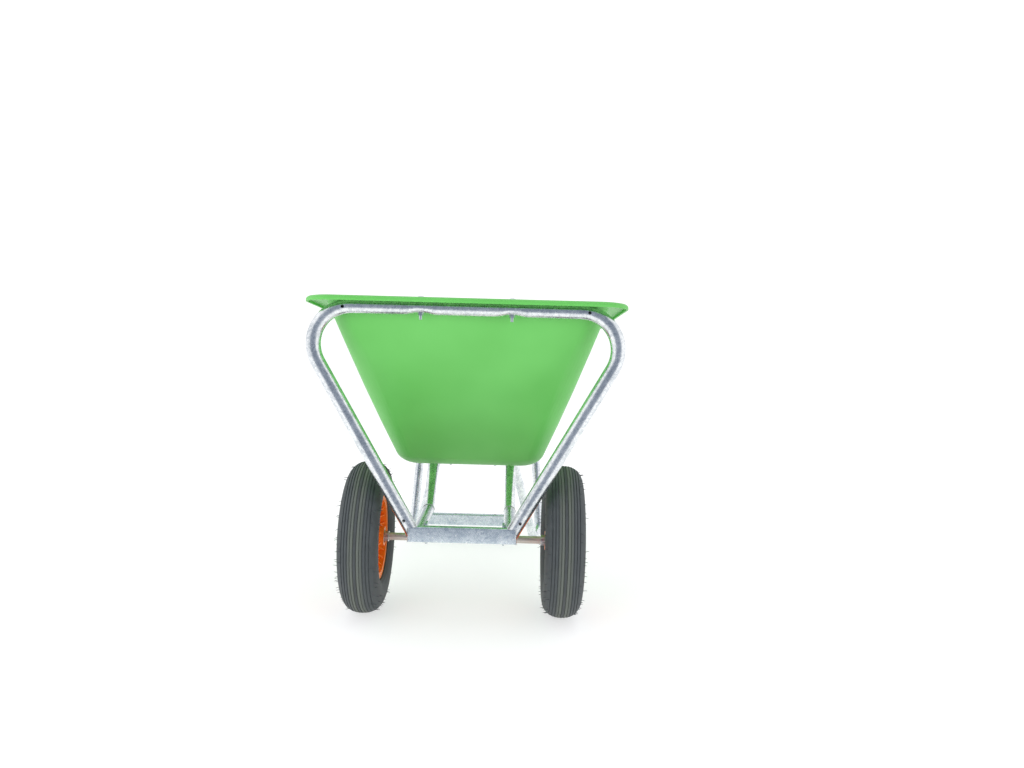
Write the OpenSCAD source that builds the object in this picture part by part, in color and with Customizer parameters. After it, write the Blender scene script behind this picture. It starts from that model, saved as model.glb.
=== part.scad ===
// Two-wheeled barrow: a deep moulded tray on a galvanised tube frame with a front hoop.
// The wheels are at the front (-Y), the handles at the back (+Y), and +Z is up.
// The origin is on the ground, at the middle of the whole barrow's box.
// Left and right are the user's own, standing between the handles: left is +X.

/* [Overall] */
// Length from the front of the tyres to the ends of the grips
overall_l = 1500; // [1400:10:1600]

/* [Wheels] */
// Outer diameter of the tyres
tyre_d = 400; // [390:1:410]
// Width of a tyre
tyre_w = 102; // [96:1:106]
// Distance between the middles of the two tyres
track = 520; // [500:5:560]
// Diameter of the bead seat on the rim
bead_d = 203; // [200:1:206]
// Distance between a rim's two flanges
rim_w = 64; // [60:1:68]
// Length of a hub
hub_l = 90; // [84:1:96]
// Number of gusset ribs on each side of a rim
rim_ribs = 24; // [16:4:24]
// Circumferential grooves on each half of the tread
tread_grooves = 5; // [3:1:5]
// Diameter of the axle
axle_d = 20; // [20:1:22]

/* [Frame] */
// Diameter of the front hoop's tube
hoop_d = 36; // [34:1:38]
// Width over the outside of the front hoop
hoop_w = 780; // [760:5:800]
// Angle of the hoop's legs from upright
hoop_angle = 29.2; // [26:0.2:31]
// Bend radius of the hoop, to the middle of its tube
hoop_bend = 94; // [80:1:120]
// Diameter of the rails
rail_d = 32; // [30:1:34]
// Distance between the middles of the rails
rail_gap = 238; // [220:2:250]
// Slope of the rails where they climb to the tray
rail_slope = 42; // [35:1:48]
// Diameter of the legs
leg_d = 30; // [28:1:32]
// Distance between the feet, from middle to middle
foot_gap = 466; // [440:2:480]
// Height of a box-section crossbar
bar_h = 40; // [36:1:40]
// Depth of a box-section crossbar
bar_t = 20; // [18:1:24]
// Wall thickness of the tubes
tube_wall = 2; // [1.5:0.5:2.5]
// Distance between the middles of the handles
handle_gap = 570; // [540:10:600]
// Slope of the handle grips
grip_slope = 10; // [5:1:12]
// Length of a grip
grip_l = 130; // [110:5:140]

/* [Tray] */
// Width over the rim
tray_w = 796; // [780:2:812]
// Length over the rim
tray_l = 1240; // [1200:10:1250]
// Height of the rim at the front
rim_z = 838; // [834:1:842]
// Fall of the rim towards the back, in degrees
rim_fall = 5; // [4:0.5:5]
// Width of the flat rim
rim_flange = 46; // [40:1:50]
// Depth of the rim's turned-down lip
lip_h = 13; // [11:1:16]
// Wall thickness of the tray
tray_wall = 5; // [4:0.5:5]
// Height of the underside of the tray's floor
floor_z = 367; // [364:1:372]
// Width of the tray at its floor
floor_w = 402; // [390:2:420]
// Radius of the tray's bottom edges
floor_r = 38; // [34:1:40]
// Radius of the rim's outer corners
rim_corner = 86; // [80:2:100]

/* [Hidden] */
$fn = 64;

// How far a cutter runs past a face
eps = 1;
// How much thinner a bend is than its straights, and how far they lap over it
hair = 0.02;
lap = 0.5;
galvanised = "silver";

// Wheels
tyre_r = tyre_d / 2;
bead_r = bead_d / 2;
axle_r = axle_d / 2;
axle_z = tyre_r;
axle_y = tyre_r - overall_l / 2;
flange_r = bead_r + 12.5;
flange_t = 4;
web_t = 5;
barrel_t = 5;
hub_r = 25;
bearing_r = 18;
bearing_l = 20;
bearing_recess = 2;
bearing_gap = 0.05;
rim_bolt_r = 48;
rim_bolt_count = 6;
valve_u = 14;
valve_r = 4;
valve_inside = 34;
valve_outside = 6;
valve_angle = 15;
cap_t = 4;
rim_bolt_angle = 30;
rim_bolt_half = 3;
rim_nut_af = 10;
rim_nut_h = 5;
rim_bolt_head = 4;
hub_ribs = 6;
hub_rib_out = 80;
hub_rib_t = 4;
rim_rib_in = 62;
rim_rib_t = 3;
collar_l = 11;
collar_r = 14;
side_gap = 0.5;
washer_t = 3;
washer_r = 18;
pin_r = 2;
pin_u = track / 2 + hub_l / 2 + side_gap + washer_t + pin_r + 0.5;
axle_end = pin_u + 9;

// Hoop, front crossbar and beams
hoop_r = hoop_d / 2;
hoop_top_y = axle_y - 165;
hoop_foot_y = axle_y - 135;
hoop_x = hoop_w / 2 - hoop_r;
bar_top = axle_z + 65;
bar_half = 136;
bar_round = 4;
bar_wall = 2;
rail_r = rail_d / 2;
rail_x = rail_gap / 2;
beam_z = axle_z + axle_r + rail_r;
beam_start = hoop_foot_y + bar_t / 2;
beam_snipe = 50;
rail_z = floor_z - rail_r;
knee_y = axle_y + 215;
rise_y = knee_y + (rail_z - beam_z) / tan(rail_slope);
rail_bend = 70;

// Tray
rim_front = hoop_top_y - hoop_r - 16;
rim_back = rim_front + tray_l;
wall_front = rim_front + rim_flange;
wall_back = rim_back - rim_flange;
floor_front = axle_y + 150;
floor_back = axle_y + 700;
mouth_corner = rim_corner - rim_flange + 29;
rim_t = 5;
hoop_top_z = rim_height(hoop_top_y) - rim_t - hoop_r - 0.5;

// Handles and legs
back_bend_y = floor_back - 10;
handle_x = handle_gap / 2;
handle_knee = [handle_x, axle_y + 1055, 650];
grip_r = 18.5;
grip_cap = 4;
handle_end_y = overall_l / 2 - grip_r * sin(grip_slope) - grip_cap * cos(grip_slope);
handle_end = handle_knee + (handle_end_y - handle_knee.y) * [0, 1, tan(grip_slope)];
handle_bend = 110;
leg_r = leg_d / 2;
leg_bend = 45;
leg_front_top = [rail_x, axle_y + 600, rail_z];
leg_back_top = along_handle(0.47);
leg_knee = leg_knee_at(leg_knee_z(6));
leg_bar_z = 75;
leg_bar_y = axle_y + 712;
crossbar_front_y = rise_y + 45;
crossbar_rear_y = back_bend_y - 40;
crossbar_r = 15;
handle_bar_at = 0.62;

// Fasteners
bolt_r = 4;
bolt_head_r = 10;
bolt_head_h = 4.5;
nut_af = 13;
nut_h = 6.5;
hoop_bolt_x = 111;
floor_bolt_x = 70;
bolt_gap = 0.3;
bar_vent_x = 70;
vent_r = 4;
vent_top_x = 298;
vent_low_x = 145;
vent_low_z = 282;

/* ---- Shared functions and shapes ---- */

function unit(v) = v / norm(v);

// Height of the rim's top face at a place along the barrow
function rim_height(y) = rim_z - (y - rim_front) * tan(rim_fall);

// Point on the climbing part of a rail, from the end of the tray (0) to the handle's knee (1)
function along_handle(t) = rail_corner() + t * (handle_knee - rail_corner());
function rail_corner() = [rail_x, back_bend_y, rail_z];

// Height of the corner where a leg's two arms would meet, so that the bend rests on the ground
function leg_knee_at(z) = [foot_gap / 2 + 4, axle_y + 765, z];
function leg_knee_z(tries) = tries == 0 ? -90 : leg_drop(leg_knee_at(leg_knee_z(tries - 1)));
function leg_drop(knee) =
    let (u = unit(leg_front_top - knee), w = unit(leg_back_top - knee))
    let (n = unit(cross(u, w)), half = acos(u * w) / 2)
    leg_r + leg_bend * sqrt(1 - n.z * n.z) - leg_bend / sin(half) * unit(u + w).z;

// Solid round bar from one point to another
module rod(a, b, r) {
    v = b - a;
    translate(a)
        rotate([0, acos(v.z / norm(v)), atan2(v.y, v.x)])
            cylinder(r = r, h = norm(v));
}

module ring(r, bore_r) {
    difference() {
        circle(r = r);
        if (bore_r > 0)
            circle(r = bore_r);
    }
}

// Distance from corner b to where its bend starts
function bend_cut(a, b, c, bend_r) = bend_r / tan(acos(unit(a - b) * unit(c - b)) / 2);

// Round bend at corner b, between the directions to a and c. It is a hair thinner than the
// straights, which lap over its ends, so that the two join without faces that nearly touch.
module bend(a, b, c, bend_r, r, bore_r) {
    u = unit(a - b);
    w = unit(c - b);
    half = acos(u * w) / 2;
    middle = b + unit(u + w) * bend_r / sin(half);
    x = unit(b + u * bend_r / tan(half) - middle);
    z = unit(cross(x, b + w * bend_r / tan(half) - middle));
    y = cross(z, x);
    multmatrix([
        [x.x, y.x, z.x, middle.x],
        [x.y, y.y, z.y, middle.y],
        [x.z, y.z, z.z, middle.z]
    ])
        rotate_extrude(angle = 180 - 2 * half)
            translate([bend_r, 0])
                ring(r - hair, bore_r == 0 ? 0 : bore_r + hair);
}

// Round bar or tube through a row of corners, with a round bend at each one between the ends
module bent(p, bends, r, bore_r) {
    last = len(bends);
    for (i = [0:last]) {
        go = unit(p[i + 1] - p[i]);
        start = i == 0 ? 0 : bend_cut(p[i - 1], p[i], p[i + 1], bends[i - 1]) - lap;
        stop = i == last ? 0 : bend_cut(p[i], p[i + 1], p[i + 2], bends[i]) - lap;
        if (bore_r > 0)
            tube(p[i] + go * start, p[i + 1] - go * stop, r);
        else
            rod(p[i] + go * start, p[i + 1] - go * stop, r);
    }
    for (i = [1:last])
        bend(p[i - 1], p[i], p[i + 1], bends[i - 1], r, bore_r);
}

module bent_rod(p, bends, r) bent(p, bends, r, 0);
module bent_tube(p, bends, r) bent(p, bends, r, r - tube_wall);

// Straight tube between two points, open at both ends
module tube(a, b, r) {
    difference() {
        rod(a, b, r);
        rod(a + eps * unit(a - b), b + eps * unit(b - a), r - tube_wall);
    }
}

module rounded_rect(w, h, r) {
    square([w - 2 * r, h], center = true);
    square([w, h - 2 * r], center = true);
    for (x = [-1, 1], y = [-1, 1])
        translate([x * (w / 2 - r), y * (h / 2 - r)])
            circle(r = r);
}

// Box-section bar lying along X, about its own middle
module box_bar(length) {
    rotate([90, 0, 90])
        linear_extrude(height = length, center = true)
            difference() {
                rounded_rect(bar_t, bar_h, bar_round);
                rounded_rect(bar_t - 2 * bar_wall, bar_h - 2 * bar_wall, bar_round - bar_wall);
            }
}

module hex_nut(af, h, hole_r) {
    difference() {
        cylinder(r = af / 2 / cos(30), h = h, $fn = 6);
        translate([0, 0, -eps])
            cylinder(r = hole_r, h = h + 2 * eps);
    }
}

// Round-headed bolt hanging down from the face it is put in through
module round_head_bolt(length) {
    translate([0, 0, -length])
        cylinder(r = bolt_r, h = length);
    cap_r = (bolt_head_r * bolt_head_r + bolt_head_h * bolt_head_h) / (2 * bolt_head_h);
    intersection() {
        translate([0, 0, bolt_head_h - cap_r])
            sphere(r = cap_r);
        cylinder(r = bolt_head_r + eps, h = bolt_head_h + eps);
    }
}

module both_sides() {
    for (side = [-1, 1])
        mirror([side < 0 ? 1 : 0, 0, 0])
            children();
}

/* ---- Tray ---- */

// Four upright corner posts at the rim, on its slope, from the top face down
module rim_posts(x_edge, y_from, y_to, r, down) {
    for (x = [-1, 1], y = [y_from + r, y_to - r])
        translate([x * (x_edge - r), y, rim_height(y)])
            rotate([-rim_fall, 0, 0])
                translate([0, 0, -down])
                    cylinder(r = r, h = down);
}

// The bowl of the tray, drawn in by a wall thickness and carried up by a margin
module bowl(inset, up) {
    hull() {
        for (x = [-1, 1], y = [floor_front + floor_r, floor_back - floor_r])
            translate([x * (floor_w / 2 - floor_r), y, floor_z + floor_r])
                sphere(r = floor_r - inset, $fn = 40);
        translate([0, 0, up])
            rim_posts(tray_w / 2 - rim_flange - inset, wall_front + inset, wall_back - inset,
                mouth_corner - inset, 0.5, $fn = 64);
    }
}

module tray() {
    color("limegreen")
        difference() {
            union() {
                bowl(0, -rim_t / 2);
                hull()
                    rim_posts(tray_w / 2, rim_front, rim_back, rim_corner, lip_h);
            }
            bowl(tray_wall, 0.4);
            difference() {
                hull()
                    translate([0, 0, -rim_t])
                        rim_posts(tray_w / 2 - 4, rim_front + 4, rim_back - 4, rim_corner - 4, lip_h);
                bowl(0, -rim_t / 2);
            }
            for (x = [-1, 1]) {
                translate([x * hoop_bolt_x, hoop_top_y, rim_z - lip_h])
                    cylinder(r = bolt_r + bolt_gap, h = 2 * lip_h);
                for (y = [crossbar_front_y, crossbar_rear_y])
                    translate([x * floor_bolt_x, y, floor_z - eps])
                        cylinder(r = bolt_r + bolt_gap, h = tray_wall + 2 * eps);
            }
        }
}

/* ---- Frame ---- */

// Corners of the hoop's tube, from one foot over the top to the other
function hoop_corner(side) =
    [side * (hoop_x - hoop_bend + hoop_bend * tan((90 + hoop_angle) / 2)), hoop_top_y, hoop_top_z];
function hoop_foot(side) =
    let (drop = hoop_top_z - (bar_top - bar_h) + 10)
    [side * (abs(hoop_corner(1).x) - drop * tan(hoop_angle)), hoop_foot_y - 1, hoop_top_z - drop];

module front_hoop() {
    path = [hoop_foot(-1), hoop_corner(-1), hoop_corner(1), hoop_foot(1)];
    color(galvanised)
        difference() {
            bent_tube(path, [hoop_bend, hoop_bend], hoop_r);
            translate([-bar_half, hoop_foot_y - 2 * hoop_r, 0])
                cube([2 * bar_half, 4 * hoop_r, bar_top]);
            for (x = [-1, 1]) {
                translate([x * hoop_bolt_x, hoop_top_y, hoop_top_z - hoop_d])
                    cylinder(r = bolt_r + bolt_gap, h = 2 * hoop_d);
                for (hole = [
                    [vent_top_x, hoop_top_y, hoop_top_z - 2],
                    [vent_low_x, hoop_foot_y, vent_low_z]
                ])
                    translate([x * hole.x, hole.y, hole.z])
                        rotate([90, 0, 0])
                            cylinder(r = vent_r, h = hoop_d);
            }
        }
}

module front_crossbar() {
    color(galvanised)
        translate([0, hoop_foot_y, bar_top - bar_h / 2])
            box_bar(2 * bar_half);
}

function beam_knee(side) = [side * rail_x, knee_y, beam_z];
function rail_rise(side) = [side * rail_x, rise_y, rail_z];

// Everything behind the mitre plane between a beam and its rail
module behind_mitre(side) {
    translate(beam_knee(side))
        rotate([rail_slope / 2, 0, 0])
            translate([-2 * rail_d, 0, -2 * rail_d])
                cube([4 * rail_d, 4 * rail_d, 4 * rail_d]);
}

// Everything in front of that plane
module before_mitre(side) {
    translate(beam_knee(side))
        rotate([rail_slope / 2, 0, 0])
            translate([-2 * rail_d, -4 * rail_d, -2 * rail_d])
                cube([4 * rail_d, 4 * rail_d, 4 * rail_d]);
}

module axle_beam(side) {
    start = [side * rail_x, beam_start, beam_z];
    color(galvanised)
        difference() {
            tube(start, beam_knee(side) + [0, rail_d, 0], rail_r);
            behind_mitre(side);
            // The lower corner is cut away, so that nothing hangs below the crossbar
            translate([side * rail_x, beam_start, bar_top - bar_h])
                rotate([-atan((bar_top - bar_h - beam_z + rail_r) / beam_snipe), 0, 0])
                    translate([-2 * rail_d, -rail_d, -4 * rail_d])
                        cube([4 * rail_d, 8 * rail_d, 4 * rail_d]);
        }
}

function rail_path(side) =
    [for (p = [beam_knee(1), rail_rise(1), rail_corner(), handle_knee, handle_end]) [side * p.x, p.y, p.z]];

module rail(side) {
    path = rail_path(side);
    lower = unit(path[0] - path[1]) * rail_d;
    start = concat([path[0] + lower], [for (i = [1:4]) path[i]]);
    color(galvanised)
        difference() {
            bent_tube(start, [rail_bend, rail_bend, handle_bend], rail_r);
            before_mitre(side);
        }
}

module tray_crossbar(y) {
    color(galvanised)
        difference() {
            tube([-rail_x, y, rail_z], [rail_x, y, rail_z], crossbar_r);
            for (side = [-1, 1]) {
                rod([side * rail_x, y - 80, rail_z], [side * rail_x, y + 80, rail_z], rail_r);
                translate([side * floor_bolt_x, y, rail_z - rail_d])
                    cylinder(r = bolt_r + bolt_gap, h = 2 * rail_d);
            }
        }
}

module handle_crossbar() {
    at = along_handle(handle_bar_at);
    color(galvanised)
        difference() {
            tube([-at.x, at.y, at.z], at, 12.5);
            both_sides()
                rod(along_handle(handle_bar_at - 0.15), along_handle(handle_bar_at + 0.15), rail_r);
        }
}

function leg_path() = [leg_front_top, leg_knee, leg_back_top];

module leg(side) {
    color(galvanised)
        mirror([side < 0 ? 1 : 0, 0, 0])
            difference() {
                bent_tube(leg_path(), [leg_bend], leg_r);
                translate([rail_x, leg_front_top.y - 100, rail_z])
                    rotate([-90, 0, 0])
                        cylinder(r = rail_r, h = 200);
                rod(along_handle(0.25), along_handle(0.75), rail_r);
            }
}

module leg_crossbar() {
    color(galvanised)
        difference() {
            translate([0, leg_bar_y, leg_bar_z])
                box_bar(foot_gap);
            both_sides()
                bent_rod(leg_path(), [leg_bend], leg_r);
            both_sides()
                translate([leg_bar_reach(), leg_bar_y - 50, 0])
                    cube([100, 200, 200]);
            for (x = [-1, 1])
                translate([x * bar_vent_x, leg_bar_y, leg_bar_z])
                    cylinder(r = vent_r, h = bar_h);
        }
}

// Where the front arm of a leg passes the crossbar
function leg_bar_reach() =
    let (t = (leg_bar_z - leg_knee.z) / (leg_front_top.z - leg_knee.z))
    leg_knee.x + t * (leg_front_top.x - leg_knee.x);

module grip(side) {
    path = rail_path(side);
    back = path[4];
    go = unit(path[4] - path[3]);
    color("dimgray")
        difference() {
            rod(back - grip_l * go, back + grip_cap * go, grip_r);
            rod(back - (grip_l + eps) * go, back, rail_r);
        }
}

/* ---- Axle ---- */

module axle() {
    color("rosybrown")
        difference() {
            rod([-axle_end, axle_y, axle_z], [axle_end, axle_y, axle_z], axle_r);
            both_sides()
                rod([pin_u, axle_y, axle_z - axle_d], [pin_u, axle_y, axle_z + axle_d], pin_r + 0.1);
        }
}

module axle_lug(side) {
    t = 6;
    color(galvanised)
        mirror([side < 0 ? 1 : 0, 0, 0])
            difference() {
                translate([rail_x - rail_r - t + 3, axle_y, axle_z])
                    rotate([90, 0, 90])
                        linear_extrude(height = t)
                            difference() {
                                union() {
                                    circle(r = 18);
                                    translate([-16, 0])
                                        square([32, 36]);
                                    translate([0, 36])
                                        rounded_rect(32, 12, 5.9);
                                }
                                circle(r = axle_r + 0.05);
                            }
                rod([rail_x, beam_start, beam_z], beam_knee(1), rail_r);
            }
}

module axle_collars() {
    start = track / 2 - hub_l / 2 - side_gap - collar_l;
    color(galvanised)
        both_sides()
            difference() {
                rod([start, axle_y, axle_z], [start + collar_l, axle_y, axle_z], collar_r);
                rod([start - eps, axle_y, axle_z], [start + collar_l + eps, axle_y, axle_z], axle_r + 0.05);
            }
}

module axle_washers() {
    start = track / 2 + hub_l / 2 + side_gap;
    color(galvanised)
        both_sides()
            difference() {
                rod([start, axle_y, axle_z], [start + washer_t, axle_y, axle_z], washer_r);
                rod([start - eps, axle_y, axle_z], [start + washer_t + eps, axle_y, axle_z], axle_r + 0.05);
            }
}

module split_pins() {
    color("gainsboro")
        both_sides()
            translate([pin_u, axle_y, axle_z]) {
                translate([0, 0, -axle_r - 7])
                    cylinder(r = pin_r, h = 2 * axle_r + 14);
                translate([0, 0, axle_r + 10.5])
                    rotate([90, 0, 90])
                        rotate_extrude()
                            translate([4.5, 0])
                                circle(r = 1.8);
            }
}

/* ---- Wheels ---- */

// Turns a shape about Z, standing outwards from a wheel's middle plane, to lie along the axle
module on_wheel(side) {
    mirror([side < 0 ? 1 : 0, 0, 0])
        translate([track / 2, axle_y, axle_z])
            rotate([0, 90, 0])
                children();
}

function power(v, p) = sign(v) * pow(abs(v), p);
section_mid = (tyre_r + bead_r) / 2;
section_h = (tyre_r - bead_r) / 2;
section_power = 2.3;
casing_t = 6;
bead_gap = 40;
bead_h = 18;
seat_gap = 0.2;
groove_first = 4;
groove_step = 7.5;
groove_w = 2;
groove_h = 2.5;
section_step = 7.5;

// Section through a tyre as [radius, along the axle], drawn in by inset
function section(inset) =
    [for (a = [0:section_step:360 - section_step])
        [section_mid + (section_h - inset) * power(cos(a), 2 / section_power),
         (tyre_w / 2 - inset) * power(sin(a), 2 / section_power)]];

// Radius of the tread at a distance from its middle
function tread_radius(u) =
    section_mid + section_h * pow(1 - pow(abs(u) / (tyre_w / 2), section_power), 1 / section_power);

module tyre(side) {
    color("darkslategray")
        on_wheel(side)
            rotate_extrude()
                difference() {
                    polygon(section(0));
                    polygon(section(casing_t));
                    translate([0, -bead_gap / 2])
                        square([bead_r + bead_h, bead_gap]);
                    for (u = [-1, 1])
                        translate([0, u > 0 ? rim_w / 2 - seat_gap : -rim_w / 2 - tyre_w + seat_gap])
                            square([flange_r + 0.3, tyre_w]);
                    translate([0, -tyre_w])
                        square([bead_r + seat_gap, 2 * tyre_w]);
                    for (i = [0:tread_grooves - 1], u = [-1, 1]) {
                        at = u * (groove_first + groove_step * i);
                        translate([tread_radius(at) - groove_h, at - groove_w / 2])
                            square([4 * groove_h, groove_w]);
                    }
                }
}

module inner_tube(side) {
    color("black")
        on_wheel(side)
            rotate_extrude()
                difference() {
                    polygon(section(casing_t + 0.2));
                    polygon(section(casing_t + 2.4));
                }
}

// One half of a rim, from the middle plane out
module rim_half(side, out) {
    bolt_step = 360 / rim_bolt_count;
    hub_half = hub_l / 2;
    color("orangered")
        on_wheel(side)
            mirror([0, 0, out > 0 ? 0 : 1])
                difference() {
                    union() {
                        rotate_extrude() {
                            square([bead_r - 1, web_t]);
                            translate([bead_r - barrel_t, 0])
                                square([barrel_t, rim_w / 2 + flange_t]);
                            translate([bead_r - barrel_t, rim_w / 2])
                                square([flange_r - bead_r + barrel_t, flange_t]);
                            square([hub_r, hub_half]);
                        }
                        for (i = [0:rim_ribs - 1])
                            rotate([90, 0, (i + 0.5) * 360 / rim_ribs])
                                linear_extrude(height = rim_rib_t, center = true)
                                    polygon([
                                        [rim_rib_in, 1],
                                        [bead_r - 2, 1],
                                        [bead_r - 2, rim_w / 2 + 2]
                                    ]);
                        for (i = [0:hub_ribs - 1])
                            rotate([90, 0, i * 360 / hub_ribs])
                                linear_extrude(height = hub_rib_t, center = true)
                                    polygon([
                                        [hub_r - 5, 1],
                                        [hub_rib_out, 1],
                                        [hub_r, hub_half - 6],
                                        [hub_r - 5, hub_half - 6]
                                    ]);
                    }
                    translate([0, 0, -eps])
                        cylinder(r = collar_r, h = hub_half + 2 * eps);
                    translate([0, 0, hub_half - bearing_l - bearing_recess])
                        cylinder(r = bearing_r, h = bearing_l + bearing_recess + eps);
                    for (i = [0:rim_bolt_count - 1])
                        rotate([0, 0, rim_bolt_angle + i * bolt_step])
                            translate([rim_bolt_r, 0, -eps])
                                cylinder(r = rim_bolt_half + 0.2, h = web_t + 2 * eps);
                    if (out > 0)
                        rotate([0, 90, valve_angle])
                            translate([-valve_u, 0, bead_r - 2 * barrel_t])
                                cylinder(r = valve_r + 0.3, h = 3 * barrel_t);
                }
}

module rim_bolts(side) {
    color("lightgray")
        on_wheel(side)
            for (i = [0:rim_bolt_count - 1])
                rotate([0, 0, rim_bolt_angle + i * 360 / rim_bolt_count])
                    translate([rim_bolt_r, 0, 0]) {
                        translate([0, 0, -web_t - rim_nut_h - 2])
                            cylinder(r = rim_bolt_half, h = 2 * web_t + rim_nut_h + 2);
                        translate([0, 0, web_t])
                            cylinder(r = rim_nut_af / 2 / cos(30), h = rim_bolt_head, $fn = 6);
                    }
}

module rim_nuts(side) {
    color("lightgray")
        on_wheel(side)
            for (i = [0:rim_bolt_count - 1])
                rotate([0, 0, rim_bolt_angle + i * 360 / rim_bolt_count])
                    translate([rim_bolt_r, 0, -web_t - rim_nut_h])
                        hex_nut(rim_nut_af, rim_nut_h, rim_bolt_half + 0.05);
}

module bearing(side, out) {
    start = hub_l / 2 - bearing_l - bearing_recess;
    color("black")
        on_wheel(side)
            mirror([0, 0, out > 0 ? 0 : 1])
                translate([0, 0, start])
                    difference() {
                        cylinder(r = bearing_r, h = bearing_l);
                        translate([0, 0, -eps])
                            cylinder(r = axle_r + bearing_gap, h = bearing_l + 2 * eps);
                    }
}

module valve_stem(side) {
    color("black")
        on_wheel(side)
            rotate([0, 90, valve_angle])
                translate([-valve_u, 0, bead_r - valve_inside])
                    cylinder(r = valve_r, h = valve_inside + valve_outside);
}

module valve_cap(side) {
    color("black")
        on_wheel(side)
            rotate([0, 90, valve_angle])
                translate([-valve_u, 0, bead_r - valve_inside - cap_t])
                    difference() {
                        cylinder(r = valve_r + 1.2, h = 3 * cap_t);
                        translate([0, 0, cap_t])
                            cylinder(r = valve_r, h = 3 * cap_t);
                    }
}

/* ---- Tray fasteners ---- */

module hoop_bolts() {
    color("silver")
        for (x = [-1, 1])
            translate([x * hoop_bolt_x, hoop_top_y, rim_height(hoop_top_y) + 0.95])
                round_head_bolt(hoop_d + rim_t + nut_h + 6);
}

module hoop_bolt_nuts() {
    color("silver")
        for (x = [-1, 1])
            translate([x * hoop_bolt_x, hoop_top_y, hoop_top_z - hoop_r - nut_h])
                hex_nut(nut_af, nut_h, bolt_r + 0.05);
}

module floor_bolts() {
    color("silver")
        for (x = [-1, 1], y = [crossbar_front_y, crossbar_rear_y])
            translate([x * floor_bolt_x, y, floor_z + tray_wall + 0.2])
                round_head_bolt(2 * crossbar_r + tray_wall + nut_h + 4);
}

module floor_bolt_nuts() {
    color("silver")
        for (x = [-1, 1], y = [crossbar_front_y, crossbar_rear_y])
            translate([x * floor_bolt_x, y, rail_z - crossbar_r - nut_h])
                hex_nut(nut_af, nut_h, bolt_r + 0.05);
}

tray();
front_hoop();
front_crossbar();
axle_beam(1);  // axle_beam_left
axle_beam(-1);  // axle_beam_right
rail(1);  // rail_left
rail(-1);  // rail_right
tray_crossbar(crossbar_front_y);  // tray_crossbar_front
tray_crossbar(crossbar_rear_y);  // tray_crossbar_rear
handle_crossbar();
leg(1);  // leg_left
leg(-1);  // leg_right
leg_crossbar();
grip(1);  // grip_left
grip(-1);  // grip_right
axle();
axle_lug(1);  // axle_lug_left
axle_lug(-1);  // axle_lug_right
axle_collars();
axle_washers();
split_pins();
hoop_bolts();
hoop_bolt_nuts();
floor_bolts();
floor_bolt_nuts();
tyre(1);  // tyre_left
inner_tube(1);  // inner_tube_left
rim_half(1, -1);  // rim_inner_half_left
rim_half(1, 1);  // rim_outer_half_left
rim_bolts(1);  // rim_bolts_left
rim_nuts(1);  // rim_nuts_left
bearing(1, -1);  // bearing_inner_left
bearing(1, 1);  // bearing_outer_left
valve_stem(1);  // valve_stem_left
valve_cap(1);  // valve_cap_left
tyre(-1);  // tyre_right
inner_tube(-1);  // inner_tube_right
rim_half(-1, -1);  // rim_inner_half_right
rim_half(-1, 1);  // rim_outer_half_right
rim_bolts(-1);  // rim_bolts_right
rim_nuts(-1);  // rim_nuts_right
bearing(-1, -1);  // bearing_inner_right
bearing(-1, 1);  // bearing_outer_right
valve_stem(-1);  // valve_stem_right
valve_cap(-1);  // valve_cap_right
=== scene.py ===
import math
import random

import bpy
from mathutils import Matrix, Vector


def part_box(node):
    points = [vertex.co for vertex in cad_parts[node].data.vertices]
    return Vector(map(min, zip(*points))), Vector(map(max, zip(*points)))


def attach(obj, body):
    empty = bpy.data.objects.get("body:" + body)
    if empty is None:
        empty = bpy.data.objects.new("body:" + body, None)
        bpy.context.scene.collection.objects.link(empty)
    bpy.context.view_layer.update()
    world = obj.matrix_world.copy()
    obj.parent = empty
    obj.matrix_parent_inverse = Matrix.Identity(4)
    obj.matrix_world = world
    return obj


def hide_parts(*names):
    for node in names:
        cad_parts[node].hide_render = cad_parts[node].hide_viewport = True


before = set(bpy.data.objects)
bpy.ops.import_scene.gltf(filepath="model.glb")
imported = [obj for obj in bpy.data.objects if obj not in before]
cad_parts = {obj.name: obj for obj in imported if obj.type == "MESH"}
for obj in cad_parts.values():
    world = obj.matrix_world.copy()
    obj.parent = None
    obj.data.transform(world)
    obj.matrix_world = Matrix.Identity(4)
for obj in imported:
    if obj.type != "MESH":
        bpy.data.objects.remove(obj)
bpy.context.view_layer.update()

# ---------------------------------------------------------------------------------------
# The studio. A pale floor that runs off behind into white and stops in front of the barrow,
# soft light from all round, a darker room ahead that the tubes mirror as a grey band down
# their middles, and a camera a little below the tray's rim.
# ---------------------------------------------------------------------------------------
axle_lo, axle_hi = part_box("axle")
axle_at = (axle_lo + axle_hi) / 2
eye = Vector((0.111, axle_at.y - 2.189, 0.794))
yaw, pitch, roll = (math.radians(a) for a in (0.12, 4.59, 1.54))


def linear(code):
    """Linear RGBA of an sRGB hex colour."""
    shares = [int(code[i : i + 2], 16) / 255 for i in (1, 3, 5)]
    return [*(s / 12.92 if s <= 0.04045 else ((s + 0.055) / 1.055) ** 2.4 for s in shares), 1.0]


def add(tree, kind, inputs=None, stops=None, **settings):
    """Adds a node. An input is a value, or a node and its output to link; stops are a ramp's."""
    made = tree.nodes.new(kind)
    for name, value in settings.items():
        setattr(made, name, value)
    for name, value in (inputs or {}).items():
        if isinstance(value, tuple) and isinstance(value[0], bpy.types.Node):
            tree.links.new(value[0].outputs[value[1]], made.inputs[name])
        else:
            made.inputs[name].default_value = value
    if stops:
        ramp = made.color_ramp.elements
        while len(ramp) < len(stops):
            ramp.new(1.0)
        for element, (at, code) in zip(ramp, stops):
            element.position, element.color = at, linear(code)
    return made


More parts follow.
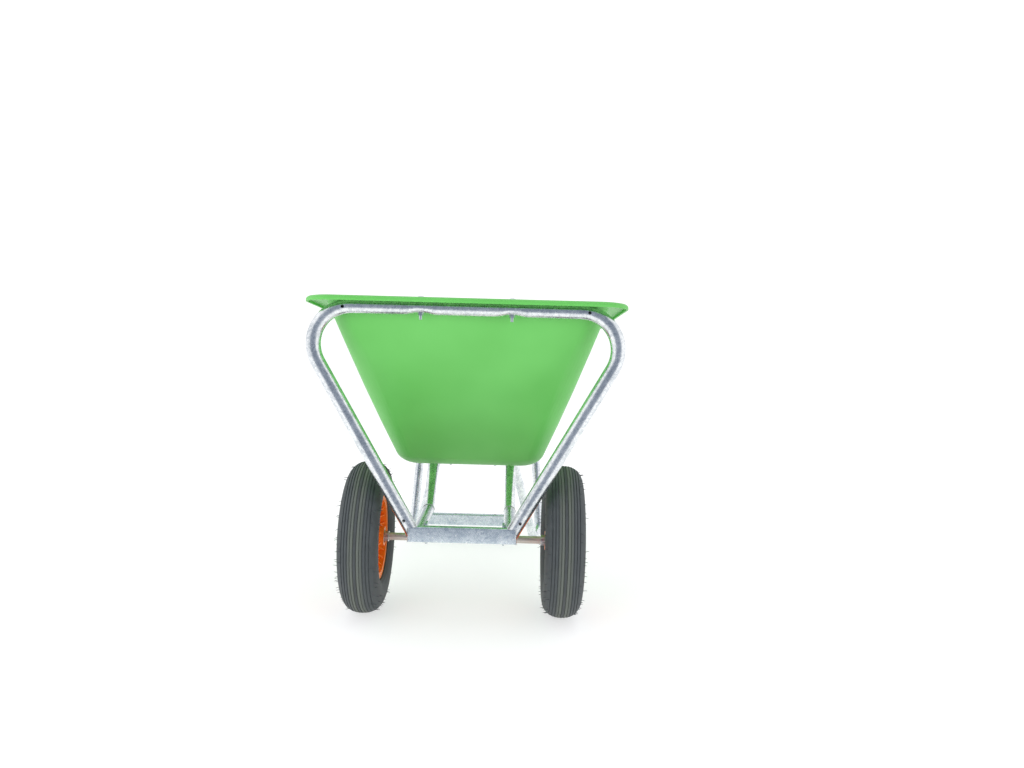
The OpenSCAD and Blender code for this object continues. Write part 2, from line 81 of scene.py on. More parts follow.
def finish_material(name, shader_inputs, build):
    """A material: constant shader inputs, then those that build links from Object coordinates."""
    material = bpy.data.materials.new(name)
    material.use_nodes = True
    tree = material.node_tree
    tree.nodes.clear()
    coords = add(tree, "ShaderNodeTexCoord")
    inputs = dict(shader_inputs)
    inputs.update(build(tree, (coords, "Object")))
    shader = add(tree, "ShaderNodeBsdfPrincipled", inputs)
    add(tree, "ShaderNodeOutputMaterial", {"Surface": (shader, "BSDF")})
    return material


ahead = Vector((math.sin(yaw) * math.cos(pitch), math.cos(yaw) * math.cos(pitch), -math.sin(pitch)))
level = ahead.cross(Vector((0, 0, 1))).normalized()
across = math.cos(roll) * level + math.sin(roll) * level.cross(ahead)
bpy.ops.object.camera_add(location=eye)
camera = bpy.context.object
camera.data.sensor_width = 36
camera.data.lens = 29.2
camera.rotation_euler = Matrix((across, (-ahead).cross(across), -ahead)).transposed().to_euler()
bpy.context.scene.camera = camera

floor_size = 60
floor_front = -1.45
bpy.ops.mesh.primitive_plane_add(
    size=floor_size, location=(0, floor_front + floor_size / 2, 0)
)
floor = bpy.context.object
floor.name = "studio_floor"


def paper(tree, at):
    # Matt white paper: one grain, too faint to be seen from here but never dead flat.
    grain = add(tree, "ShaderNodeTexNoise", {"Vector": at, "Scale": 400.0, "Detail": 2.0})
    tone = add(
        tree, "ShaderNodeValToRGB", {"Fac": (grain, "Fac")}, [(0.3, "#BABABA"), (0.7, "#BEBEBE")]
    )
    return {"Base Color": (tone, "Color"), "Emission Color": (tone, "Color")}


floor.data.materials.append(
    finish_material("studio_paper", {"Roughness": 0.95, "Emission Strength": 1.15}, paper)
)

world = bpy.data.worlds.new("studio")
bpy.context.scene.world = world
world.use_nodes = True
world.node_tree.nodes.clear()
sky = add(world.node_tree, "ShaderNodeTexCoord")
facing = add(
    world.node_tree,
    "ShaderNodeVectorMath",
    {0: (sky, "Generated"), 1: Vector((0.08, -0.95, 0.29)).normalized()},
    operation="DOT_PRODUCT",
)
share = add(
    world.node_tree,
    "ShaderNodeMapRange",
    {"Value": (facing, "Value"), "From Min": -1.0, "From Max": 1.0},
)
tone = add(
    world.node_tree,
    "ShaderNodeValToRGB",
    {"Fac": (share, "Result")},
    [
        (0.0, "#9FA6AD"),
        (0.14, "#D5DADE"),
        (0.26, "#FFFFFF"),
        (0.80, "#FAFBFC"),
        (0.845, "#949DAA"),
        (1.0, "#7E8795"),
    ],
)
seen = add(world.node_tree, "ShaderNodeLightPath")
shown = add(
    world.node_tree,
    "ShaderNodeMix",
    {0: (seen, "Is Camera Ray"), 6: (tone, "Color"), 7: linear("#FFFFFF")},
    data_type="RGBA",
)
glow = add(world.node_tree, "ShaderNodeBackground", {"Color": (shown, 2), "Strength": 1.15})
add(world.node_tree, "ShaderNodeOutputWorld", {"Surface": (glow, "Background")})

# Soft boxes: place, aim, size and power. They light the barrow without showing in its gloss.
for place, aim, size, power in (
    ((-1.4, -2.6, 0.9), (0.0, -0.3, 0.5), 1.6, 27.0),
    ((1.7, -2.4, 0.8), (0.0, -0.2, 0.5), 1.6, 19.0),
    ((0.3, 2.2, 2.4), (0.0, 0.0, 0.6), 2.2, 18.0),
):
    bpy.ops.object.light_add(type="AREA", location=place)
    lamp = bpy.context.object
    lamp.data.size = size
    lamp.data.energy = power
    lamp.visible_glossy = False
    lamp.rotation_euler = (Vector(aim) - Vector(place)).to_track_quat("-Z", "Y").to_euler()
bpy.context.scene.view_settings.view_transform = "Standard"

# ---------------------------------------------------------------------------------------
# The tray. One rotationally moulded polyethylene tub with drafted walls, round corners, a
# flat rim that falls towards the handles, and a turned-down lip that stiffens its edge.
# ---------------------------------------------------------------------------------------
tray_lo, tray_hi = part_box("tray")
tray_wall = 0.005
rim_fall = math.radians(5)
lip_lean = 0.0008  # the tilted lip's lower edge stands that far out in front of the rim
rim_front = tray_lo.y + lip_lean
rim_length = 1.240
rim_flange = 0.046
rim_round = 0.008
floor_half = 0.201
floor_span = (axle_at.y + 0.150, axle_at.y + 0.700)
mouth_half = tray_hi.x - rim_flange
mouth_span = (rim_front + rim_flange, rim_front + rim_length - rim_flange)
rim_under = tray_hi.z - tray_wall
wall_top = rim_under - rim_round
upright_round = 0.056
bottom_round = 0.038
wall_bow = 0.006


def edit(piece, kind, test):
    """Goes into edit mode with those points, edges or faces selected whose place passes a test."""
    if piece.mode == "EDIT":
        bpy.ops.object.mode_set(mode="OBJECT")
    bpy.ops.object.select_all(action="DESELECT")
    piece.select_set(True)
    bpy.context.view_layer.objects.active = piece
    bpy.ops.object.mode_set(mode="EDIT")
    bpy.ops.mesh.select_mode(type=kind)
    bpy.ops.mesh.select_all(action="DESELECT")
    bpy.ops.object.mode_set(mode="OBJECT")
    points = piece.data.vertices
    if kind == "VERT":
        for vertex in points:
            vertex.select = test(vertex.co)
    elif kind == "EDGE":
        for edge in piece.data.edges:
            a, b = (points[i].co for i in edge.vertices)
            edge.select = test((a + b) / 2, b - a)
    else:
        for face in piece.data.polygons:
            face.select = test(face.center, face.normal)
    bpy.ops.object.mode_set(mode="EDIT")


def apply_modifier(piece, kind, **settings):
    """Adds one modifier to a piece and applies it."""
    if piece.mode == "EDIT":
        bpy.ops.object.mode_set(mode="OBJECT")
    bpy.ops.object.select_all(action="DESELECT")
    piece.select_set(True)
    bpy.context.view_layer.objects.active = piece
    modifier = piece.modifiers.new(kind.lower(), kind)
    for name, value in settings.items():
        setattr(modifier, name, value)
    bpy.ops.object.modifier_apply(modifier=modifier.name)


def fit(piece, body, slot, material, *nodes):
    """Gives a finished piece its material and its body, and hides the nodes that it stands for. The
    slot is not used.
    """
    if piece.mode == "EDIT":
        bpy.ops.object.mode_set(mode="OBJECT")
    piece.data.materials.clear()
    piece.data.materials.append(material)
    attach(piece, body)
    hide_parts(*nodes)


def smooth(piece, degrees):
    """Smooths a piece except at edges sharper than an angle."""
    if piece.mode == "EDIT":
        bpy.ops.object.mode_set(mode="OBJECT")
    bpy.ops.object.select_all(action="DESELECT")
    piece.select_set(True)
    bpy.context.view_layer.objects.active = piece
    bpy.ops.object.shade_smooth_by_angle(angle=math.radians(degrees))


bpy.ops.object.select_all(action="DESELECT")
floor_middle = sum(floor_span) / 2
bpy.ops.mesh.primitive_cube_add(
    size=1,
    location=(0, floor_middle, (tray_lo.z + wall_top) / 2),
    scale=(2 * floor_half, floor_span[1] - floor_span[0], wall_top - tray_lo.z),
)
tray = bpy.context.object
tray.name = "tray_tub"
bpy.ops.object.transform_apply(location=True, rotation=True, scale=True)
edit(tray, "VERT", lambda at: at.z > wall_top - 0.001)
mouth_length = mouth_span[1] - mouth_span[0]
bpy.ops.transform.resize(
    value=(mouth_half / floor_half, mouth_length / (floor_span[1] - floor_span[0]), 1),
    center_override=(0, floor_middle, wall_top),
)
mouth_middle = sum(mouth_span) / 2
bpy.ops.transform.translate(value=(0, mouth_middle - floor_middle, 0))
edit(tray, "FACE", lambda at, normal: normal.z > 0.9)
bpy.ops.mesh.delete(type="FACE")
edit(tray, "EDGE", lambda at, along: abs(along.z) > 0.3)
bpy.ops.mesh.bevel(offset=upright_round, segments=10, affect="EDGES")
edit(tray, "EDGE", lambda at, along: at.z < tray_lo.z + 0.001)
bpy.ops.mesh.bevel(offset=bottom_round, segments=8, affect="EDGES")
edit(tray, "VERT", lambda at: at.z > wall_top - 0.001)
half, length = mouth_half, mouth_length
lip_round = 0.004
rim_steps = [
    (rim_round * (1 - math.cos(a)), rim_round * math.sin(a)) for a in (0.4, 0.8, 1.2, math.pi / 2)
]
lip_out = rim_flange - tray_wall
rim_steps += [
    (lip_out - lip_round + lip_round * math.sin(a), rim_round - lip_round + lip_round * math.cos(a))
    for a in (0, 0.5, 1.0, math.pi / 2)
]
rim_steps += [(lip_out, 0.0)]
outs = [0, *(step[0] for step in rim_steps)]
ups = [0, *(step[1] for step in rim_steps)]
for i in range(len(rim_steps)):
    bpy.ops.mesh.extrude_region_move(TRANSFORM_OT_translate={"value": (0, 0, ups[i + 1] - ups[i])})
    grown = outs[i + 1] - outs[i]
    bpy.ops.transform.resize(
        value=((half + grown) / half, (length + 2 * grown) / length, 1),
        center_override=(0, mouth_middle, wall_top),
    )
    half, length = half + grown, length + 2 * grown
bpy.ops.mesh.select_all(action="SELECT")
bpy.ops.mesh.normals_make_consistent(inside=True)
apply_modifier(tray, "SUBSURF", subdivision_type="SIMPLE", levels=2, render_levels=2)
for vertex in tray.data.vertices:
    # Shrinkage leaves the walls a little bowed between their corners; the rim then falls back.
    up = min(max((vertex.co.z - tray_lo.z) / (wall_top - tray_lo.z), 0), 1)
    belly = wall_bow * math.sin(math.pi * up) ** 2
    x_edge = floor_half + up * (mouth_half - floor_half)
    y_edge = [floor_span[i] + up * (mouth_span[i] - floor_span[i]) for i in (0, 1)]
    y_share = (vertex.co.y - y_edge[0]) / (y_edge[1] - y_edge[0]) * 2 - 1
    x_share = vertex.co.x / x_edge
    if vertex.co.z < wall_top:
        vertex.co.y += belly * max(1 - x_share**2, 0) * max(-1, min(1, y_share)) ** 3
        vertex.co.x += belly * max(1 - y_share**2, 0) * max(-1, min(1, x_share)) ** 3
    vertex.co.z -= (vertex.co.y - rim_front) * math.tan(rim_fall) * up
apply_modifier(tray, "SOLIDIFY", thickness=tray_wall, offset=-1, use_even_offset=True)
smooth(tray, 40)


def polyethylene(tree, at):
    # Moulded polyethylene: even colour, a waxy half gloss, and the mould's fine orange peel
    # of about 1.5 mm, with broad sink marks of about 80 mm that bend its reflections.
    shade = add(tree, "ShaderNodeTexNoise", {"Vector": at, "Scale": 5.0, "Detail": 2.0})
    colour = add(
        tree,
        "ShaderNodeValToRGB",
        {"Fac": (shade, "Fac")},
        [(0.25, "#63BB55"), (0.5, "#69C15C"), (0.75, "#6FC762")],
    )
    gloss = add(tree, "ShaderNodeTexNoise", {"Vector": at, "Scale": 40.0, "Detail": 4.0})
    rough = add(
        tree,
        "ShaderNodeMapRange",
        {"Value": (gloss, "Fac"), "To Min": 0.36, "To Max": 0.52},
    )
    sink = add(tree, "ShaderNodeTexNoise", {"Vector": at, "Scale": 1 / 0.080, "Detail": 1.0})
    broad = add(tree, "ShaderNodeBump", {"Height": (sink, "Fac"), "Strength": 0.25, "Distance": 0.004})
    peel = add(tree, "ShaderNodeTexNoise", {"Vector": at, "Scale": 1 / 0.0015, "Detail": 2.0})
    fine = add(
        tree,
        "ShaderNodeBump",
        {"Height": (peel, "Fac"), "Strength": 0.15, "Distance": 0.0002, "Normal": (broad, "Normal")},
    )
    return {"Base Color": (colour, "Color"), "Roughness": (rough, "Result"), "Normal": (fine, "Normal")}


green_polyethylene = finish_material("moulded_green_polyethylene", {"IOR": 1.5}, polyethylene)
fit(tray, "frame", "tray_green", green_polyethylene, "tray")

# ---------------------------------------------------------------------------------------
# The front hoop. One round tube bent at two shoulders, hot-dip galvanised after welding,
# with vent holes for the zinc and a dent pressed up into it by each of the tray's bolts.
# ---------------------------------------------------------------------------------------
hoop_lo, hoop_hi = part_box("front_hoop")
bar_lo, bar_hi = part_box("front_crossbar")
bolt_head_r = 0.010
hoop_r = 0.018
hoop_wall = 0.002
hoop_bend = 0.094
hoop_lean = math.radians(29.2)
hoop_tube_x = hoop_hi.x - hoop_r
hoop_top = Vector((0, hoop_lo.y + hoop_r, hoop_hi.z - hoop_r))
hoop_foot_y = (bar_lo.y + bar_hi.y) / 2 - 0.001
shoulder_x = hoop_tube_x + hoop_bend * (math.tan(math.pi / 4 + hoop_lean / 2) - 1)
foot_drop = hoop_top.z - bar_lo.z + 0.010
foot_x = shoulder_x - foot_drop * math.tan(hoop_lean)
hoop_bolt_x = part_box("hoop_bolts")[1].x - bolt_head_r
dent_depth = 0.0055
dent_half = 0.042
vent_r = 0.004
vent_holes = ((0.298, hoop_top.y, hoop_top.z - 0.002), (0.145, hoop_foot_y, 0.282))
pipe_sides = 36
bend_step = 0.08
dent_cuts = 7
weld_seed = random.Random(7)


def pipe(name, corners, bends, radius):
    """A thin tube run through some corners, with a round bend at each one between its ends."""
    points = [Vector(corner) for corner in corners]
    start = (points[1] - points[0]).normalized()
    if bpy.context.object and bpy.context.object.mode == "EDIT":
        bpy.ops.object.mode_set(mode="OBJECT")
    bpy.ops.object.select_all(action="DESELECT")
    bpy.ops.mesh.primitive_circle_add(
        vertices=pipe_sides,
        radius=radius,
        location=points[0],
        rotation=start.to_track_quat("Z", "Y").to_euler(),
    )
    made = bpy.context.object
    made.name = name
    bpy.ops.object.transform_apply(location=True, rotation=True, scale=True)
    bpy.ops.object.mode_set(mode="EDIT")
    bpy.ops.mesh.select_mode(type="EDGE")
    bpy.ops.mesh.select_all(action="SELECT")
    here = points[0]
    for i, bend in enumerate(bends, 1):
        back = (points[i - 1] - points[i]).normalized()
        on = (points[i + 1] - points[i]).normalized()
        half = back.angle(on) / 2
        cut = bend / math.tan(half)
        bpy.ops.mesh.extrude_region_move(
            TRANSFORM_OT_translate={"value": points[i] + back * cut - here}
        )
        bpy.ops.mesh.spin(
            steps=round((math.pi - 2 * half) / bend_step),
            angle=math.pi - 2 * half,
            center=points[i] + (back + on).normalized() * bend / math.sin(half),
            axis=back.cross(on).normalized(),
        )
        here = points[i] + on * cut
    bpy.ops.mesh.extrude_region_move(TRANSFORM_OT_translate={"value": points[-1] - here})
    bpy.ops.mesh.select_all(action="SELECT")
    bpy.ops.mesh.remove_doubles(threshold=0.00001)
    bpy.ops.mesh.normals_make_consistent(inside=False)
    return made


def bead(name, points, size):
    """A weld: a row of overlapping ripples of zinc-coated weld metal along some points."""
    bpy.ops.object.select_all(action="DESELECT")
    bpy.ops.mesh.primitive_ico_sphere_add(subdivisions=2, radius=size, location=points[0])
    made = bpy.context.object
    made.name = name
    bpy.ops.object.transform_apply(location=True, rotation=True, scale=True)
    bpy.ops.object.mode_set(mode="EDIT")
    for point in points[1:]:
        bpy.ops.mesh.primitive_ico_sphere_add(
            subdivisions=2, radius=size * weld_seed.uniform(0.82, 1.1), location=point
        )
    bpy.ops.object.mode_set(mode="OBJECT")
    smooth(made, 60)
    fit(made, "frame", "galvanised_steel", galvanised_tube)


def ring(middle, axis, radius, count):
    """Points round a circle about an axis."""
    axis = Vector(axis).normalized()
    side = axis.orthogonal().normalized()
    other = axis.cross(side)
    angles = [math.tau * i / count for i in range(count)]
    return [Vector(middle) + radius * (math.cos(a) * side + math.sin(a) * other) for a in angles]


def hot_dip(dull, bright, crystal, painted_glint_share):
    """Builds a hot-dip galvanised finish: crystals of a size in metres, between two greys, and painted
    highlight dots for beaded zinc.
    """

    def build(tree, at):
        # Zinc crystals differ in brightness and gloss, runs of about 18 mm leave it slightly
        # lumpy, and cloudy patches of about 40 mm are duller. On plate, near-white dots about 24 mm
        # apart are painted highlights that stand for the glints of zinc that has beaded up.
        warp = add(tree, "ShaderNodeTexNoise", {"Vector": at, "Scale": 1 / 0.010, "Detail": 2.0})
        moved = add(
            tree,
            "ShaderNodeVectorMath",
            {0: (warp, "Color"), 1: (0.004, 0.004, 0.004), 2: at},
            operation="MULTIPLY_ADD",
        )
        cells = add(tree, "ShaderNodeTexVoronoi", {"Vector": (moved, "Vector"), "Scale": 1 / crystal})
        one = add(tree, "ShaderNodeSeparateColor", {"Color": (cells, "Color")})
        cloud = add(tree, "ShaderNodeTexNoise", {"Vector": at, "Scale": 1 / 0.040, "Detail": 3.0})
        both = add(
            tree,
            "ShaderNodeMath",
            {0: (one, "Red"), 1: 0.45, 2: (cloud, "Fac")},
            operation="MULTIPLY_ADD",
        )
        colour = add(
            tree, "ShaderNodeValToRGB", {"Fac": (both, "Value")}, [(0.35, dull), (0.95, bright)]
        )
        gloss = add(
            tree,
            "ShaderNodeMapRange",
            {"Value": (one, "Green"), "To Min": 0.22, "To Max": 0.32},
        )
        # Painted highlights: near-white dots mixed into the colour stand for the glints of beaded zinc.
        zinc_bead_glint_cells = add(tree, "ShaderNodeTexVoronoi", {"Vector": at, "Scale": 1 / 0.024})
        painted_glint = add(
            tree,
            "ShaderNodeMapRange",
            {
                "Value": (zinc_bead_glint_cells, "Distance"),
                "From Min": 0.08,
                "From Max": 0.13,
                "To Min": 1.0,
                "To Max": 0.0,
            },
        )
        shown = add(tree, "ShaderNodeMath", {0: (painted_glint, "Result"), 1: painted_glint_share}, operation="MULTIPLY")
        final = add(
            tree,
            "ShaderNodeMix",
            {0: (shown, "Value"), 6: (colour, "Color"), 7: linear("#F4F7F8")},
            data_type="RGBA",
        )
        runs = add(tree, "ShaderNodeTexNoise", {"Vector": at, "Scale": 1 / 0.018, "Detail": 2.0})
        lumps = add(
            tree, "ShaderNodeBump", {"Height": (runs, "Fac"), "Strength": 0.12, "Distance": 0.0006}
        )
        grain = add(
            tree,
            "ShaderNodeBump",
            {
                "Height": (both, "Value"),
                "Strength": 0.06,
                "Distance": 0.0001,
                "Normal": (lumps, "Normal"),
            },
        )
        return {
            "Base Color": (final, 2),
            "Roughness": (gloss, "Result"),
            "Normal": (grain, "Normal"),
        }

    return build


# Galvanised tube: fine pale crystals. Galvanised plate: flatter, bluer, with painted highlights for
# beaded zinc.
galvanised_tube = finish_material(
    "hot_dip_galvanised_tube", {"Metallic": 1.0}, hot_dip("#C2C8CE", "#F2F4F6", 0.005, 0.0)
)
galvanised_plate = finish_material(
    "hot_dip_galvanised_plate", {"Metallic": 0.85}, hot_dip("#B4C0CC", "#DEE6EC", 0.006, 0.8)
)

hoop = pipe(
    "hoop_tube",
    [
        (-foot_x, hoop_foot_y, hoop_top.z - foot_drop),
        (-shoulder_x, hoop_top.y, hoop_top.z),
        (shoulder_x, hoop_top.y, hoop_top.z),
        (foot_x, hoop_foot_y, hoop_top.z - foot_drop),
    ],
    [hoop_bend, hoop_bend],
    hoop_r,
)
for side in (-1, 1):
    for step in range(-dent_cuts, dent_cuts + 1):
        bpy.ops.mesh.select_all(action="SELECT")
        bpy.ops.mesh.bisect(
            plane_co=(side * hoop_bolt_x + step * dent_half / dent_cuts, 0, 0),
            plane_no=(1, 0, 0),
        )
bpy.ops.object.mode_set(mode="OBJECT")
for vertex in hoop.data.vertices:
    away = abs(abs(vertex.co.x) - hoop_bolt_x) / dent_half
    if away < 1 and vertex.co.z > hoop_top.z - 1.5 * hoop_r:
        under = min(max((hoop_hi.z - vertex.co.z) / (2 * hoop_r), 0), 1)
        vertex.co.z += dent_depth * math.cos(away * math.pi / 2) ** 2 * under**2
apply_modifier(hoop, "SOLIDIFY", thickness=hoop_wall, offset=-1, use_even_offset=True)


def drill(piece, place, axis, radius, depth):
    """Takes a round hole out of a piece."""
    bpy.ops.object.select_all(action="DESELECT")
    bpy.ops.mesh.primitive_cylinder_add(
        vertices=24,
        radius=radius,
        depth=depth,
        location=place,
        rotation=Vector(axis).to_track_quat("Z", "Y").to_euler(),
    )
    cutter = bpy.context.object
    apply_modifier(piece, "BOOLEAN", operation="DIFFERENCE", object=cutter, solver="EXACT")
    bpy.data.objects.remove(cutter)


bpy.ops.object.select_all(action="DESELECT")
bpy.ops.mesh.primitive_cube_add(
    size=1,
    location=(0, hoop_foot_y, bar_hi.z / 2),
    scale=(2 * bar_hi.x, 4 * hoop_r, bar_hi.z),
)
notch = bpy.context.object
apply_modifier(hoop, "BOOLEAN", operation="DIFFERENCE", object=notch, solver="EXACT")
bpy.data.objects.remove(notch)
for x, y, z in vent_holes:
    for side in (-1, 1):
        drill(hoop, (side * x, y - hoop_r, z), (0, 1, 0), vent_r, hoop_r)
smooth(hoop, 35)
fit(hoop, "frame", "galvanised_steel", galvanised_tube, "front_hoop")

weld_size = 0.0021
weld_step = 0.0026
for side, label in ((-1, "right"), (1, "left")):
    # Each foot is welded up the front and the back of the crossbar's end and over its top.
    weld_x = side * (bar_hi.x - 0.0005)
    heights = [bar_lo.z + 0.002 + weld_step * n for n in range(15)]
    front = [
        Vector((weld_x, bar_lo.y - 0.0002 + 0.0004 * (i % 2), z)) for i, z in enumerate(heights)
    ]
    back = [Vector((point.x, bar_hi.y, point.z)) for point in front]
    top = [Vector((weld_x, bar_lo.y + weld_step * n, bar_hi.z)) for n in range(8)]
    bead(f"weld_hoop_front_{label}", front, weld_size)
    bead(f"weld_hoop_back_{label}", back, weld_size)
    bead(f"weld_hoop_top_{label}", top, weld_size)

# ---------------------------------------------------------------------------------------
# The tray's bolts. Round-headed zinc-plated bolts through the rim and the floor, with
# hexagon nuts under the hoop and the crossbars.
# ---------------------------------------------------------------------------------------


def plated(tree, at):
    # Bright zinc plate: thin, blue-white, slightly cloudy, with turning marks of about 0.5 mm.
    cloud = add(tree, "ShaderNodeTexNoise", {"Vector": at, "Scale": 1 / 0.006, "Detail": 3.0})
    colour = add(
        tree, "ShaderNodeValToRGB", {"Fac": (cloud, "Fac")}, [(0.3, "#C4CAD2"), (0.7, "#E2E6EA")]
    )
    rough = add(
        tree, "ShaderNodeMapRange", {"Value": (cloud, "Fac"), "To Min": 0.22, "To Max": 0.40}
    )
    marks = add(tree, "ShaderNodeTexNoise", {"Vector": at, "Scale": 1 / 0.0005})
    bump = add(tree, "ShaderNodeBump", {"Height": (marks, "Fac"), "Strength": 0.2, "Distance": 0.0001})
    return {
        "Base Color": (colour, "Color"),
        "Roughness": (rough, "Result"),
        "Normal": (bump, "Normal"),
    }


zinc_plate = finish_material("bright_zinc_plate", {"Metallic": 1.0}, plated)


def from_node(name, node):
    """A copy of a CAD node's shape as a piece of its own, with its doubled points merged."""
    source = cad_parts[node]
    bpy.ops.object.select_all(action="DESELECT")
    made = bpy.data.objects.new(name, source.data.copy())
    bpy.context.collection.objects.link(made)
    made.matrix_world = source.matrix_world
    made.select_set(True)
    bpy.context.view_layer.objects.active = made
    bpy.ops.object.transform_apply(location=True, rotation=True, scale=True)
    bpy.ops.mesh.customdata_custom_splitnormals_clear()
    bpy.ops.object.mode_set(mode="EDIT")
    bpy.ops.mesh.select_all(action="SELECT")
    bpy.ops.mesh.remove_doubles(threshold=0.00001)
    bpy.ops.mesh.normals_make_consistent(inside=False)
    bpy.ops.object.mode_set(mode="OBJECT")
    smooth(made, 30)
    return made


hoop_nuts = from_node("hoop_nuts", "hoop_bolt_nuts")
for vertex in hoop_nuts.data.vertices:
    vertex.co.z += dent_depth
fit(hoop_nuts, "frame", "zinc_plated", zinc_plate, "hoop_bolt_nuts")
for name, node in (
    ("rim_screws", "hoop_bolts"),
    ("floor_screws", "floor_bolts"),
    ("floor_nuts", "floor_bolt_nuts"),
):
    fit(from_node(name, node), "frame", "zinc_plated", zinc_plate, node)

# ---------------------------------------------------------------------------------------
# The frame's tubes. Two straight beams over the axle, two rails that climb from them and
# carry the tray up to the handles, and the bars across, all welded and then galvanised.
# ---------------------------------------------------------------------------------------
for name, node, material in (
    ("axle_crossbar", "front_crossbar", galvanised_plate),
    ("axle_beam_left_tube", "axle_beam_left", galvanised_tube),
    ("axle_beam_right_tube", "axle_beam_right", galvanised_tube),
    ("rail_left_tube", "rail_left", galvanised_tube),
    ("rail_right_tube", "rail_right", galvanised_tube),
    ("tray_crossbar_front_tube", "tray_crossbar_front", galvanised_tube),
    ("tray_crossbar_rear_tube", "tray_crossbar_rear", galvanised_tube),
    ("handle_crossbar_tube", "handle_crossbar", galvanised_tube),
    ("leg_left_tube", "leg_left", galvanised_tube),
    ("leg_right_tube", "leg_right", galvanised_tube),
    ("leg_bar", "leg_crossbar", galvanised_plate),
    ("lug_left", "axle_lug_left", galvanised_plate),
    ("lug_right", "axle_lug_right", galvanised_plate),
):
    fit(from_node(name, node), "frame", "galvanised_steel", material, node)

rail_r = 0.016
beam_lo, beam_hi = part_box("axle_beam_left")
beam_x = (beam_lo.x + beam_hi.x) / 2
beam_z = beam_hi.z - rail_r
bar_front_lo, bar_front_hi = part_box("tray_crossbar_front")
bar_rear_lo, bar_rear_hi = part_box("tray_crossbar_rear")
floor_bar_r = 0.015
saddle_half = 0.011
tube_ripples = 36
floor_bar_ripples = 34
tube_weld = 0.0022
floor_bar_weld = 0.0018
lug_weld = 0.0020
lug_weld_step = 0.0028
mitre_lean = math.radians(21)
knee_back = 0.215
knee = Vector((beam_x, axle_at.y + knee_back, beam_z))
for side, label in ((-1, "right"), (1, "left")):
    middle = Vector((side * knee.x, knee.y, knee.z))
    # The two tubes meet on a leaning plane, so this weld is an oval.
    oval = [
        middle + Vector((point.x, 0, point.z)) + Vector((0, -point.z * math.tan(mitre_lean), 0))
        for point in ring((0, 0, 0), (0, 1, 0), rail_r, tube_ripples)
    ]
    bead(f"weld_mitre_{label}", oval, tube_weld)
    start = ring((side * beam_x, bar_hi.y, beam_z), (0, 1, 0), rail_r, tube_ripples)
    bead(f"weld_beam_{label}", [point for point in start if point.z > bar_lo.z + 0.002], tube_weld)
    for place, lo, hi in (("front", bar_front_lo, bar_front_hi), ("rear", bar_rear_lo, bar_rear_hi)):
        cross_y, cross_z = (lo.y + hi.y) / 2, (lo.z + hi.z) / 2
        reach = beam_x - math.sqrt(rail_r**2 - saddle_half**2)
        around = ring((side * reach, cross_y, cross_z), (1, 0, 0), floor_bar_r, floor_bar_ripples)
        bead(f"weld_floor_bar_{place}_{label}", around, floor_bar_weld)
    lug_x = side * (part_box("axle_lug_left")[0].x - 0.0002)
    along_lug = [axle_at.y + lug_weld_step * (n - 5) for n in range(11)]
    bead(f"weld_lug_{label}", [Vector((lug_x, y, beam_z - 0.001)) for y in along_lug], lug_weld)

# ---------------------------------------------------------------------------------------
# The grips. Ribbed black rubber sleeves pushed onto the ends of the rails.
# ---------------------------------------------------------------------------------------


def grip_rubber(tree, at):
    # Moulded rubber: nearly black, a grain of about 0.8 mm, dusty where hands don't reach.
    dust = add(tree, "ShaderNodeTexNoise", {"Vector": at, "Scale": 1 / 0.020, "Detail": 4.0})
    colour = add(
        tree, "ShaderNodeValToRGB", {"Fac": (dust, "Fac")}, [(0.3, "#2A2B2C"), (0.75, "#3D3E3F")]
    )
    rough = add(tree, "ShaderNodeMapRange", {"Value": (dust, "Fac"), "To Min": 0.55, "To Max": 0.75})
    grain = add(tree, "ShaderNodeTexNoise", {"Vector": at, "Scale": 1 / 0.0008, "Detail": 2.0})
    bump = add(tree, "ShaderNodeBump", {"Height": (grain, "Fac"), "Strength": 0.3, "Distance": 0.0002})
    return {
        "Base Color": (colour, "Color"),
        "Roughness": (rough, "Result"),
        "Normal": (bump, "Normal"),
    }


grip_material = finish_material("grip_rubber", {"IOR": 1.52}, grip_rubber)
grip_lo, grip_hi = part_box("grip_left")
grip_slope = math.radians(10)
grip_r = 0.0185
grip_length = 0.134
grip_bore = 0.0161
grip_run = Vector((0, math.cos(grip_slope), math.sin(grip_slope)))
grip_end = Vector(
    (
        (grip_lo.x + grip_hi.x) / 2,
        grip_hi.y - grip_r * math.sin(grip_slope),
        grip_hi.z - grip_r * math.cos(grip_slope),
    )
)
grip_cap = 0.0042
rib_count = 13
rib_first = 0.008
rib_pitch = 0.0085
rib_depth = 0.0012


def lathe(name, outline, middle, axis, steps):
    """A closed outline of (distance along the axis, radius) pairs turned about the axis."""
    axis = Vector(axis).normalized()
    out = axis.orthogonal().normalized()
    bpy.ops.object.select_all(action="DESELECT")
    bpy.ops.mesh.primitive_circle_add(vertices=len(outline), radius=0.01)
    made = bpy.context.object
    made.name = name
    for vertex, (along, radius) in zip(made.data.vertices, outline):
        vertex.co = Vector(middle) + along * axis + radius * out
    bpy.ops.object.mode_set(mode="EDIT")
    bpy.ops.mesh.select_mode(type="EDGE")
    bpy.ops.mesh.select_all(action="SELECT")
    bpy.ops.mesh.spin(steps=steps, angle=math.tau, center=middle, axis=axis)
    bpy.ops.mesh.select_all(action="SELECT")
    bpy.ops.mesh.remove_doubles(threshold=0.00001)
    bpy.ops.mesh.normals_make_consistent(inside=False)
    bpy.ops.object.mode_set(mode="OBJECT")
    return made


